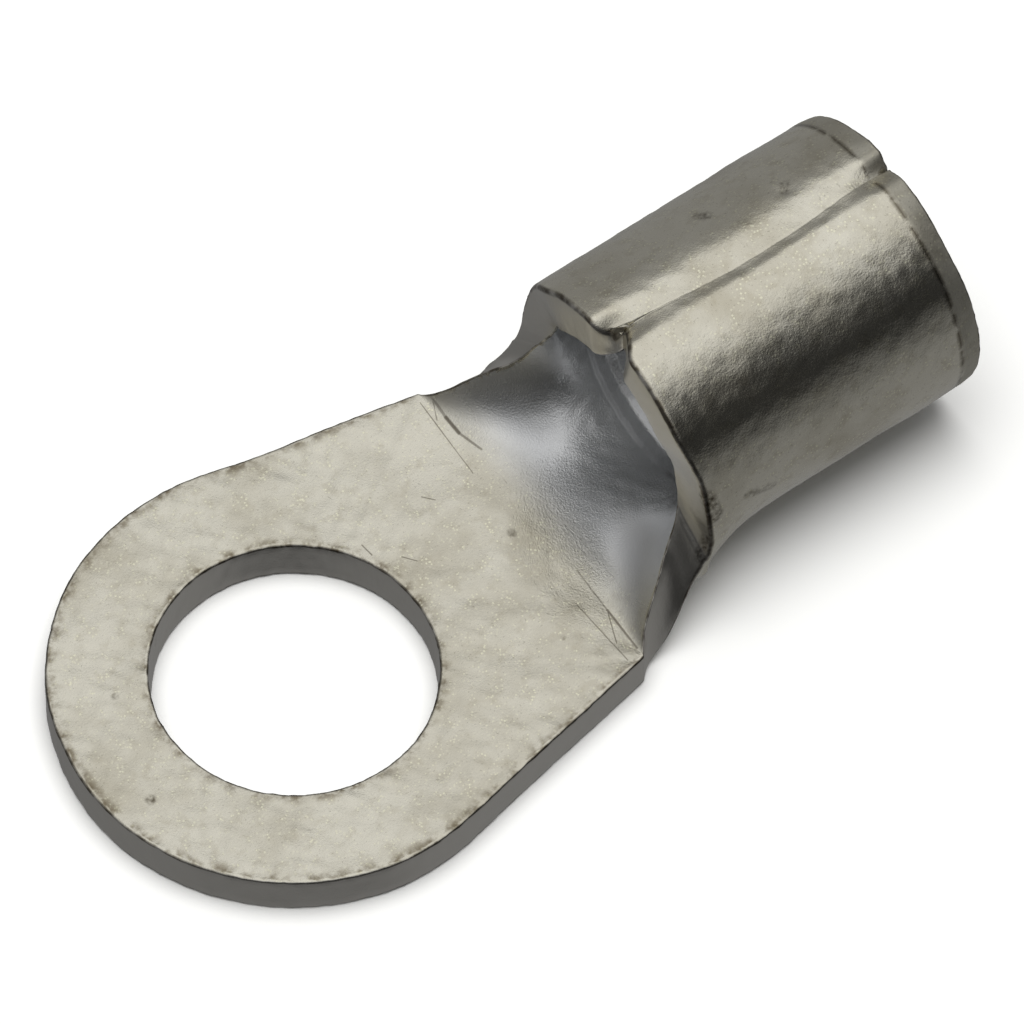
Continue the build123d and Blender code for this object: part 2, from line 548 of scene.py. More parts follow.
    def relief(self, x: Array, angle: Array) -> Array:
        """Height of the outside over its plain arc: flare, seam and back rim.

        Args:
            x: Places along the part.
            angle: Angles from the bottom, in radians.

        Returns:
            Heights in millimetres.
        """
        share = self.share(x)
        start, span = self.flare_angles
        across = np.clip((np.degrees(np.abs(angle)) / share - start) / span, 0, 1)
        along = np.clip((x - self.neck_end) / self.flare_length, 0, 1)
        height = self.flare_height * (1 - self.flare_lean * np.sin(angle))
        flare = height * share ** self.flare_rise * (1 - along) ** self.flare_fade * np.sin(pi * across) ** 2
        top = self.from_top(angle)
        valley = self.seam.valley(x, self.outer_radius * np.sin(np.radians(top)))
        on_top = (np.abs(top) < self.seam_reach) & (x > self.crease + self.seam_clear)
        return flare - np.where(on_top, valley, 0) - self.bevel.drop(self.back - x, top)

    def outside(self, x: Array, angle: Array) -> Array:
        """Finds places on the face outside.

        Args:
            x: Places along the part.
            angle: Angles from the bottom, in radians.

        Returns:
            Points with x, y, z in the last axis.
        """
        raised, rise = self.relief(x, angle), self.rise(x, angle)
        bent, angle = self.bend(x, angle, self.outer_radius)
        out = bent + raised
        return np.stack([x + 0 * angle, out * np.sin(angle), (bent - out * np.cos(angle)) * rise], axis=-1)

    def seam_turn(self, along: Array | float) -> Array:
        """Angle of the seam from the top, in radians, at a share of the barrel's length."""
        start = self.front + self.seam_start
        return np.arcsin(self.seam.line(start + (self.back - start) * along) / self.outer_radius)

    def hold(self, free: Array) -> Array:
        """Share of the seam's wandering that a line at this angle from it follows."""
        return np.clip(1 - np.abs(free) / radians(self.seam_reach), 0, 1)

    def spread(self) -> Array:
        """Shares of the way from the seam, falling from 1 to 0, close together near the seam."""
        steps = [*self.first_steps, *[self.last_step] * self.last_steps]
        return 1 - np.concatenate([[0.0], np.cumsum(steps[::-1])]) / sum(steps)

    def front_plane(self, angle: Array) -> Array:
        """Where the wings' front stands.

        Args:
            angle: Angles from the bottom, in radians.

        Returns:
            Places along the part: set back at the sides, and notched where the wings meet.
        """
        top = self.from_top(angle)
        seam = top - np.degrees(self.seam_turn(0.0))
        place = self.front + self.set_back * smooth(np.abs(top), *self.set_back_angles)
        forward = smooth(seam, 0, self.forward_start) * (1 - smooth(top, *self.forward_angles))
        place = place - self.forward * forward
        left_width, right_width = self.notch_angles
        left = 1 - np.sqrt(1 - (1 - np.clip(self.notch_blunt + seam / left_width, 0, 1)) ** 2)
        right = 1 - smooth(-seam / right_width, self.notch_flat, 1)
        return place + self.seam_notch * np.where(seam > 0, left, right)

    @property
    def corner_start(self) -> float:
        """Where the neck's edge begins to turn up to the front."""
        return self.front + self.set_back - self.corner_radius

    def neck_edge(self, x: Array) -> tuple[Array, Array]:
        """Finds the neck's +Y cut edge.

        Args:
            x: Places from the crease to the corner.

        Returns:
            Angles from the bottom of the edge's corner inside and outside, in radians.
        """
        a = radians(self.edge_angle)
        past = np.clip(x - self.corner_start, 0, self.corner_radius)
        level = self.edge_level + self.corner_radius - np.sqrt(self.corner_radius ** 2 - past ** 2)
        swell = np.clip((x - self.crease - self.swell_start) / self.swell_length, 0, 1)
        level = level + self.edge_swell * np.sin(pi * swell) ** 2
        bent = self.bore_radius / self.share(x)
        angle = np.arccos(((self.thickness + bent) * cos(a) - level) / bent) - a
        place = self.inside(x, angle)
        slope = np.radians(90 - (90 - self.edge_angle) * np.clip((x - self.crease) / self.edge_turn, 0, 1))
        wide = self.outer_radius / self.share(x)
        low, high = np.zeros_like(x), np.full_like(x, self.longest_cut)
        out = angle
        for _ in range(self.halvings):
            middle = (low + high) / 2
            y = place[..., 1] + middle * np.cos(slope)
            z = place[..., 2] - middle * np.sin(slope)
            out = np.arctan2(y, wide - z)
            within = np.hypot(y, wide - z) < wide + self.relief(x, out)
            low, high = np.where(within, middle, low), np.where(within, high, middle)
        return angle, out

    def place(self, face: Face, x: Array, angle: Array) -> Array:
        """Finds places on one of the two faces, by their x and their angles from the bottom in radians."""
        return self.outside(x, angle) if face is Face.OUTSIDE else self.inside(x, angle)

    def front_edge(self, angle: Array, face: Face) -> Array:
        """Finds the barrel's front edge.

        Args:
            angle: Angles from the bottom, in radians, from the neck's corner to the seam.
            face: The face.

        Returns:
            Places along the part.
        """
        a = radians(self.edge_angle)
        plane = self.front_plane(angle)
        low, high = plane - self.corner_radius, plane
        for _ in range(self.halvings):
            x = (low + high) / 2
            point = self.place(face, x, angle)
            level = np.abs(point[..., 1]) * sin(a) + point[..., 2] * cos(a)
            rise = np.clip(level - self.edge_level, 0, self.corner_radius)
            reach = plane - self.corner_radius + np.sqrt(
                self.corner_radius ** 2 - (self.corner_radius - rise) ** 2)
            low, high = np.where(reach > x, x, low), np.where(reach > x, high, x)
        return np.where(np.abs(self.from_top(angle)) < self.flat_front, plane, (low + high) / 2)

    def edge(self, side: int, face: Face) -> tuple[Array, Array]:
        """Follows one cut edge from the crease to the seam.

        Args:
            side: 1 for the +Y edge and -1 for the other.
            face: The face whose corner with the cut is followed.

        Returns:
            Places along the part and angles from the bottom, in radians.
        """
        turn = self.corner_start + self.corner_radius * sin(pi / 4)
        x = self.crease + (turn - self.crease) * np.linspace(0, 1, self.neck_rows)
        inside, outside = self.neck_edge(x)
        angles = outside if face is Face.OUTSIDE else inside
        free = (pi - angles[-1]) * self.spread()[1:]
        around = pi - free - side * self.seam_turn(0.0) * self.hold(free)
        front = self.front_edge(side * around, face)
        return np.concatenate([x, front]), side * np.concatenate([angles, around])

    def inset_edge(self, side: int, face: Face, inset: float) -> tuple[Array, Array]:
        """Follows one cut edge at a distance inside it.

        Args:
            side: 1 for the +Y edge and -1 for the other.
            face: The face.
            inset: The distance.

        Returns:
            Places along the part and angles from the bottom, in radians.
        """
        x, angle = self.edge(side, face)
        radius = self.outer_radius if face is Face.OUTSIDE else self.bore_radius
        arc = np.abs(angle) * radius / self.arc_share(x, angle)
        along, across = np.gradient(x), np.gradient(arc)
        size = np.hypot(along, across)
        in_x, in_across = across / size, -along / size
        in_x[0], in_across[0], in_x[-1], in_across[-1] = 0, -1, 1, 0
        x = x + inset * in_x
        return x, side * (arc + inset * in_across) * self.arc_share(x, angle) / radius

    def cover(self, skin: Skin, face: Face, inset: float, end_inset: float) -> tuple[Array, Array]:
        """Adds one face of the sheet.

        Args:
            skin: Gets the grids.
            face: The face.
            inset: Distance from the cut edges at which the face ends.
            end_inset: Distance from the back rim at which it ends.

        Returns:
            The face's points along the crease, and its columns' angles at the back rim.
        """
        (x_left, left), (x_right, right) = [self.inset_edge(side, face, inset) for side in (1, -1)]
        plain_x, plain_left = self.edge(1, face)
        plain_right = self.edge(-1, face)[1]
        rows, t = self.neck_rows, np.linspace(-1, 1, self.columns + 1)
        straight = plain_x[:rows, None]
        x_side = np.where(t > 0, x_left[:rows, None], x_right[:rows, None])
        bend = np.where(t > 0, left[:rows, None], -right[:rows, None])
        x = straight + (x_side - straight) * np.abs(t) ** self.row_bow
        bend = bend * self.share(x) / self.share(x_side)
        neck = self.place(face, x, t * bend)
        is_inside = face is Face.INSIDE
        skin.grid(neck, is_inside=is_inside)
        free = (pi - np.abs(plain_left[rows - 1])) * self.spread()[1:]
        start = np.concatenate([x[-1], x_left[rows:], x_right[rows:-1][::-1]])
        angle = np.concatenate([t * bend[-1], left[rows:], right[rows:-1][::-1]])
        rest = np.concatenate([t * plain_left[rows - 1], plain_left[rows:], plain_right[rows:-1][::-1]])
        hold = np.concatenate([0 * t, self.hold(free), self.hold(free[:-1])[::-1]])
        u = np.linspace(0, 1, self.barrel_rows + 1)[:, None]
        w = u - self.crowding * np.sin(2 * pi * u) / (2 * pi)
        turned = rest + (angle - rest) * (1 - smooth(w, 0, self.settled))
        turned = turned - (self.seam_turn(w) - self.seam_turn(0.0)) * hold
        barrel = self.place(face, start + (self.back - end_inset - start) * w, turned)
        skin.grid(barrel, closed=True, is_inside=is_inside)
        return neck[0], turned[-1]


@dataclass
class Tongue:
    """Flat ring with the stud hole and two straight sides, up to the crease.

    A short spot is where the ring falls short of its circle: by how much, in which direction and how wide.
    """

    thickness: float = 0.9
    hole_radius: float = 2.65
    hole_taper: float = 0.05
    ring_radius: float = 4.525
    flank_distance: float = 4.465
    flank_angle: float = 11.04
    crease: float = 5.3
    corner_half_width: float = 3.515
    blend_width: float = 0.16
    blend_height: float = 0.08
    short_spots: tuple[tuple[float, float, float], ...] = ((0.09, 284, 14), (0.03, 170, 14))
    stations: int = 260
    tries: int = 4001
    crowding: float = 0.5
    hole_tarnish: float = 0.11
    edge_tarnish: float = 0.14

    def reach(self, angle: Array) -> Array:
        """Distance of the outline from the hole's centre.

        Args:
            angle: Directions from +X towards +Y, in degrees from -180 to 180.

        Returns:
            The distances.
        """
        short = sum(depth * near(angle % 360, middle, width) for depth, middle, width in self.short_spots)
        ring = self.ring_radius - short
        past = np.minimum(np.abs(angle) - (90 - self.flank_angle), 0)
        flank = self.flank_distance / np.cos(np.radians(past))
        share = np.clip(0.5 + (flank - ring) / self.blend_width, 0, 1)
        return ring + (flank - ring) * share + self.blend_height * share * (1 - share)

    def outline(self, inset: float) -> Array:
        """Follows the outline from the crease's +Y end round the ring to its other end.

        Args:
            inset: Distance inside the outline.

        Returns:
            Evenly spaced points with x and y.
        """
        corner = np.degrees(atan2(self.corner_half_width, self.crease))
        turn = np.radians(np.linspace(corner, 360 - corner, self.tries))
        away = self.reach(np.degrees(np.arctan2(np.sin(turn), np.cos(turn))))
        fine = np.stack([away * np.cos(turn), away * np.sin(turn)], axis=-1)
        run = np.concatenate([[0], np.cumsum(np.linalg.norm(np.diff(fine, axis=0), axis=1))])
        at = np.linspace(0, run[-1], self.stations)
        line = np.stack([np.interp(at, run, fine[:, i]) for i in (0, 1)], axis=-1)
        heading = np.gradient(line, axis=0)
        heading /= np.linalg.norm(heading, axis=1, keepdims=True)
        return line + inset * np.stack([-heading[:, 1], heading[:, 0]], axis=-1)

    def level(self, inset: float, z: float) -> Array:
        """The outline's points between the two ends of the crease, at one height."""
        line = self.outline(inset)[1:-1]
        return np.column_stack([line, np.full(len(line), z)])

    def face(self, skin: Skin, crease: Array, inset: float, z: float, rows: int) -> Array:
        """Adds one flat face.

        Args:
            skin: Gets the grid.
            crease: The face's points along the crease, from -Y to +Y.
            inset: Distance from the outline and from the hole at which the face ends.
            z: The face's height.
            rows: How many faces there are between the hole and the outline.

        Returns:
            Directions of the face's points round the hole, in radians.
        """
        rim = np.concatenate([crease, self.level(inset, z)])
        turn = np.arctan2(rim[:, 1], rim[:, 0])
        hole = self.circle(turn, inset, z)
        u = np.linspace(0, 1, rows + 1)[:, None, None]
        u = u - self.crowding * np.sin(2 * pi * u) / (2 * pi)
        run = rim - hole
        length = np.linalg.norm(run, axis=1)
        on_edge = np.arange(len(rim)) >= len(crease)
        from_hole, from_edge = length * u[..., 0], length * (1 - u[..., 0])
        at_hole, at_edge = near(from_hole, 0, self.hole_tarnish), near(from_edge, 0, self.edge_tarnish)
        skin.grid(hole + run * u, closed=True, border=np.maximum(at_hole, at_edge * on_edge))
        return turn

    def circle(self, turn: Array, inset: float, z: float) -> Array:
        """Points round the hole at these directions, at a distance outside it and at one height."""
        away = self.hole_radius - self.hole_taper * (1 - z / self.thickness) + inset
        return np.stack([away * np.cos(turn), away * np.sin(turn), np.full_like(turn, z)], axis=-1)


@dataclass
class Terminal:
    """The whole terminal: tongue, neck and barrel as one sheet with its cut edges."""

    tongue: Tongue = field(default_factory=Tongue)
    rolled: RolledSheet = field(default_factory=RolledSheet)
    sheared: Rim = Rim(0.05, 0.10)
    back_rim: Rim = Rim(0.05, 0.05)
    unevenness: Unevenness = field(default_factory=Unevenness)
    top_rows: int = 30
    bottom_rows: int = 14

    def cut_edge(self) -> Array:
        """Runs once round the sheet's outer cut edge.

        Returns:
            Points with the steps from the upper face to the lower one in the first axis.
        """
        lines = []
        rolled, top = self.rolled, self.tongue.thickness
        for face, inset, z in ((Face.INSIDE, self.sheared.upper, top), (Face.INSIDE, 0.0, top),
                               (Face.OUTSIDE, 0.0, 0.0), (Face.OUTSIDE, self.sheared.under, 0.0)):
            left, right = [rolled.place(face, *rolled.inset_edge(side, face, inset)) for side in (1, -1)]
            level = self.tongue.level(inset, z)
            lines.append(np.concatenate([left[:1], level, right, left[-2:0:-1]]))
        return self.sheared.across(*lines)

    def hole_wall(self, top: Array, bottom: Array) -> Array:
        """Runs once round the stud hole's wall.

        Args:
            top: Directions of the upper face's points round the hole, in radians.
            bottom: Directions of the lower face's points.

        Returns:
            Points with the steps from the upper face to the lower one in the first axis.
        """
        circle, z = self.tongue.circle, self.tongue.thickness
        return self.sheared.across(circle(top, self.sheared.upper, z), circle(top, 0.0, z),
                                   circle(bottom, 0.0, 0.0), circle(bottom, self.sheared.under, 0.0))

    def back_edge(self, outside: Array, inside: Array) -> Array:
        """Runs once round the barrel's back rim.

        Args:
            outside: Angles of the outer face's columns there, in radians.
            inside: Angles of the inner face's columns.

        Returns:
            Points with the steps from outside to inside in the first axis.
        """
        back, rolled = np.full_like(outside, self.rolled.back), self.rolled
        return self.back_rim.across(
            rolled.outside(back - self.back_rim.upper, outside), rolled.outside(back, outside),
            rolled.inside(back, inside), rolled.inside(back - self.back_rim.under, inside))

    def build(self) -> bpy.types.Object:
        """Makes the terminal's mesh.

        Returns:
            The mesh object, in the place of the CAD's solid.
        """
        skin = Skin()
        inner_crease, inside = self.rolled.cover(skin, Face.INSIDE, self.sheared.upper, self.back_rim.under)
        outer_crease, outside = self.rolled.cover(skin, Face.OUTSIDE, self.sheared.under, self.back_rim.upper)
        top = self.tongue.face(skin, inner_crease, self.sheared.upper, self.tongue.thickness, self.top_rows)
        bottom = self.tongue.face(skin, outer_crease, self.sheared.under, 0.0, self.bottom_rows)
        skin.grid(self.cut_edge(), closed=True, is_cut=True)
        skin.grid(self.hole_wall(top, bottom), closed=True, is_cut=True)
        skin.grid(self.back_edge(outside, inside), closed=True, is_cut=True)
        skin.shake(self.unevenness)
        piece = skin.piece("terminal")
        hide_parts("ring_terminal")
        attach(piece, "root")
        return piece


class Nodes:
    """Adds nodes to one node tree."""

    def __init__(self, tree: bpy.types.NodeTree) -> None:
        """Clears the tree and keeps it."""
        tree.nodes.clear()
        self.tree = tree

    def add(self, kind: str, inputs: dict[str | int, object] | None = None,
            **settings: object) -> bpy.types.Node:
        """Adds a node.

        Args:
            kind: The node's type.
            inputs: Values, or outputs of other nodes to link, by socket name or number.
            settings: The node's own settings.

        Returns:
            The node.
        """
        node = self.tree.nodes.new(kind)
        for name, value in settings.items():
            setattr(node, name, value)
        for name, value in (inputs or {}).items():
            if isinstance(value, Socket):
                self.tree.links.new(value, node.inputs[name])
            else:
                node.inputs[name].default_value = value
        return node


@dataclass(frozen=True)
class Studio:
    """Pale floor, soft overhead light and the surroundings that the metal mirrors.

    The surroundings are four quarters, each a row of stops with the sine of the elevation and the light
    there. They change over from back to front along X, and from near to far along Y.
    """

    floor_colour: str = "f1f1ef"
    floor_roughness: float = 0.9
    floor_size: float = 1.6
    floor_gap: float = 0.012
    light_size: float = 0.5
    light_height: float = 0.6
    light_power: float = 3.6
    back_to_front: tuple[float, float] = (0.25, -0.05)
    near_to_far: tuple[float, float] = (-0.55, -0.1)
    near_back: tuple[tuple[float, float], ...] = (
        (-1, .21), (-.6, .21), (-.44, .19), (-.26, .145), (-.05, .08), (.14, .015), (.34, .02), (.51, .03),
        (.67, .07), (.8, .3), (.89, .56), (.95, .8), (1, .8))
    near_front: tuple[tuple[float, float], ...] = (
        (-1, .2), (-.8, .2), (-.65, .04), (.1, .025), (.26, .03), (.42, .05), (.57, .13), (.71, .42),
        (.82, .58), (.906, .7), (.966, .76), (1, .78))
    far_back: tuple[tuple[float, float], ...] = (
        (-1, .23), (.37, .22), (.54, .24), (.69, .42), (.82, .73), (1, .8))
    far_front: tuple[tuple[float, float], ...] = (
        (-1, .2), (-.2, .13), (.1, .17), (.42, .25), (.57, .28), (.71, .34), (.82, .42), (.906, .5),
        (.966, .68), (1, .78))

    def floor(self) -> bpy.types.Object:
        """Lays the floor, which the metal doesn't mirror.

        Returns:
            The floor's object.
        """
        mesh = bpy.data.meshes.new("floor")
        half = self.floor_size / 2
        corners = [(-half, -half, 0), (half, -half, 0), (half, half, 0), (-half, half, 0)]
        mesh.from_pydata(corners, [], [(0, 1, 2, 3)])
        thing = bpy.data.objects.new("floor", mesh)
        bpy.context.scene.collection.objects.link(thing)
        thing.location.z = -self.floor_gap * MM
        thing.visible_glossy = False
        mesh.materials.append(self.board())
        return thing

    def board(self) -> bpy.types.Material:
        """Makes the floor's material.

        Returns:
            Matt painted board, a white that the eye takes only for the ground of the shadow.
        """
        paint = bpy.data.materials.new("Matt paint, rolled on board")
        paint.use_nodes = True
        nodes = Nodes(paint.node_tree)
        shade = nodes.add("ShaderNodeBsdfPrincipled", {
            "Base Color": linear(self.floor_colour), "Roughness": self.floor_roughness})
        nodes.add("ShaderNodeOutputMaterial", {"Surface": shade.outputs[0]})
        return paint

    def light(self) -> None:
        """Hangs the soft light that whitens the floor."""
        lamp = bpy.data.lights.new("overhead", "AREA")
        lamp.shape = "DISK"
        lamp.size = self.light_size
        lamp.energy = self.light_power
        thing = bpy.data.objects.new("overhead", lamp)
        thing.location = (0.0, 0.0, self.light_height)
        thing.visible_glossy = False
        bpy.context.scene.collection.objects.link(thing)

    @staticmethod
    def ramp(nodes: Nodes, height: Socket, stops: tuple[tuple[float, float], ...]) -> Socket:
        """Adds the light of one quarter of the surroundings by height.

        Args:
            nodes: The world's nodes.
            height: 0 straight down and 1 straight up.
            stops: Sine of the elevation, and light there.

        Returns:
            The light.
        """
        node = nodes.add("ShaderNodeValToRGB", {"Fac": height})
        bar = node.color_ramp
        while len(bar.elements) < len(stops):
            bar.elements.new(1.0)
        for stop, (level, light) in zip(bar.elements, stops):
            stop.position = (level + 1) / 2
            stop.color = (light, light, light, 1)
        return node.outputs[0]

    def surroundings(self) -> None:
        """Sets the world: grey below, a dark band to the near side and bright above."""
        world = bpy.data.worlds.new("studio")
        world.use_nodes = True
        bpy.context.scene.world = world
        nodes = Nodes(world.node_tree)
        place = nodes.add("ShaderNodeTexCoord")
        parts = nodes.add("ShaderNodeSeparateXYZ", {0: place.outputs["Generated"]})
        height, ahead, side = [
            nodes.add("ShaderNodeMapRange", {
                "Value": parts.outputs[axis], "From Min": start, "From Max": end}).outputs[0]
            for axis, (start, end) in (
                ("Z", (-1.0, 1.0)), ("X", self.back_to_front), ("Y", self.near_to_far))]
        quarters = [self.ramp(nodes, height, stops)
                    for stops in (self.near_back, self.near_front, self.far_back, self.far_front)]
        near_half, far_half = [
            nodes.add("ShaderNodeMix", {"Factor": ahead, 6: back, 7: front}, data_type="RGBA").outputs[2]
            for back, front in (quarters[:2], quarters[2:])]
        mix = nodes.add("ShaderNodeMix", {"Factor": side, 6: near_half, 7: far_half}, data_type="RGBA")
        glow = nodes.add("ShaderNodeBackground", {"Color": mix.outputs[2], "Strength": 1.0})
        nodes.add("ShaderNodeOutputWorld", {"Surface": glow.outputs[0]})


@dataclass(frozen=True)
class PhotoCamera:
    """Camera that looks as the photograph's does, in millimetres and degrees."""

    azimuth: float = 36.407
    elevation: float = 57.854
    roll: float = -0.358
    distance: float = 403.134
    right: float = -3.955
    down: float = 3.342
    focal_length: float = 779.43
    sensor_width: float = 36.0
    nearest: float = 10.0
    farthest: float = 20000.0

    def place(self) -> bpy.types.Object:
        """Sets the camera up as the scene's.

        Returns:
            The camera's object.
        """
        turn, tilt, roll = radians(self.azimuth), radians(self.elevation), radians(self.roll)
        ahead = Vector((cos(tilt) * sin(turn), cos(tilt) * cos(turn), -sin(tilt)))
        level = Vector((cos(turn), -sin(turn), 0))
        below = ahead.cross(level)
        right = cos(roll) * level + sin(roll) * below
        down = -sin(roll) * level + cos(roll) * below
        lens = bpy.data.cameras.new("photo camera")
        lens.lens = self.focal_length
        lens.sensor_width = self.sensor_width
        lens.clip_start, lens.clip_end = self.nearest * MM, self.farthest * MM
        thing = bpy.data.objects.new("photo camera", lens)
        eye = -(right * self.right + down * self.down + ahead * self.distance) * MM
        thing.matrix_world = Matrix.Translation(eye) @ Matrix((right, -down, -ahead)).transposed().to_4x4()
        bpy.context.scene.collection.objects.link(thing)
        bpy.context.scene.camera = thing
        return thing


@dataclass(frozen=True)
class Mark:
    """Straight scratch, stain or line of painted shade, or a spot, which has one place only."""

    width: float
    strength: float
    start: tuple[float, float, float]
    end: tuple[float, float, float] | None = None


# Scratches where the sheet was folded, at the crease's two ends, with painted shade of the sharp fold at its
# +Y end, and nicks on the tongue.
SCRATCHES_AND_FOLD_SHADE = (
    # These chained lines along the crease's +Y end are partly scratches and partly painted shade of the sharp
    # fold.
    Mark(0.028, 0.5, (5.45, 3.28, 0.95), (5.41, 2.77, 0.92)),
    Mark(0.035, 0.8, (5.41, 2.77, 0.92), (5.41, 2.35, 0.91)),
    Mark(0.025, 0.6, (5.41, 2.35, 0.91), (5.53, 1.83, 0.92)),
    Mark(0.012, 0.6, (5.22, 3.30, 0.90), (5.11, 1.51, 0.90)),
    Mark(0.010, 0.35, (5.54, 1.88, 0.92), (5.48, 0.97, 0.90)),
    Mark(0.014, 0.5, (5.46, 3.26, 0.94), (5.25, 2.82, 0.90)),
    Mark(0.014, 0.5, (5.41, -1.30, 0.90), (5.35, -2.31, 0.90)),
    Mark(0.022, 0.7, (5.35, -2.31, 0.90), (5.31, -3.28, 0.91)),
    Mark(0.011, 0.6, (4.97, -1.90, 0.90), (5.02, -3.39, 0.90)),
    Mark(0.012, 0.6, (5.35, -2.31, 0.90), (5.07, -2.98, 0.90)),
    Mark(0.013, 0.6, (2.56, 1.44, 0.90), (2.58, 1.16, 0.90)),
    Mark(0.012, 0.6, (3.00, 0.81, 0.90), (3.17, 0.58, 0.90)),
    Mark(0.012, 0.6, (4.05, 1.64, 0.90), (4.21, 1.44, 0.90)),
)
# Brown stains on the tongue and in the barrel's dents, and stains mixed with painted shade at the wings'
# front.
STAINS_AND_LIP_SHADE = (
    Mark(0.09, 0.8, (4.92, 0.04, 0.90)),
    Mark(0.05, 0.5, (5.20, -0.66, 0.90)),
    Mark(0.05, 0.6, (4.35, -2.32, 0.90)),
    Mark(0.10, 0.9, (-3.71, -0.72, 0.90)),
    Mark(0.07, 0.6, (-2.97, 1.45, 0.90)),
    Mark(0.12, 0.9, (3.32, 3.87, 0.85)),
    Mark(0.07, 0.9, (2.17, 1.59, 0.90), (2.10, 1.67, 0.90)),
    Mark(0.10, 0.6, (8.12, -2.82, 2.93), (8.68, -2.81, 2.68)),
    # These two, at the right wing's front, are partly stain and partly painted shade where the bent lip
    # mirrors the barrel's dark band.
    Mark(0.15, 1.0, (7.26, -2.73, 3.48), (7.38, -2.85, 2.95)),
    Mark(0.12, 0.9, (7.17, -2.86, 2.30), (7.03, -2.89, 1.91)),
    Mark(0.12, 0.7, (10.12, 1.25, 5.34), (10.05, 1.35, 5.30)),
    Mark(0.10, 0.7, (11.54, 0.73, 5.53), (11.62, 0.85, 5.48)),
)


@dataclass(frozen=True)
class Layer:
    """One colour over those before it, where a pattern or a mark rises from low to high.

    Its strength there is multiplied by the mask that it names, if any.
    """

    colour: str
    pattern: str
    low: float = 0.0
    high: float = 1.0
    strength: float = 1.0
    mask: str = ""


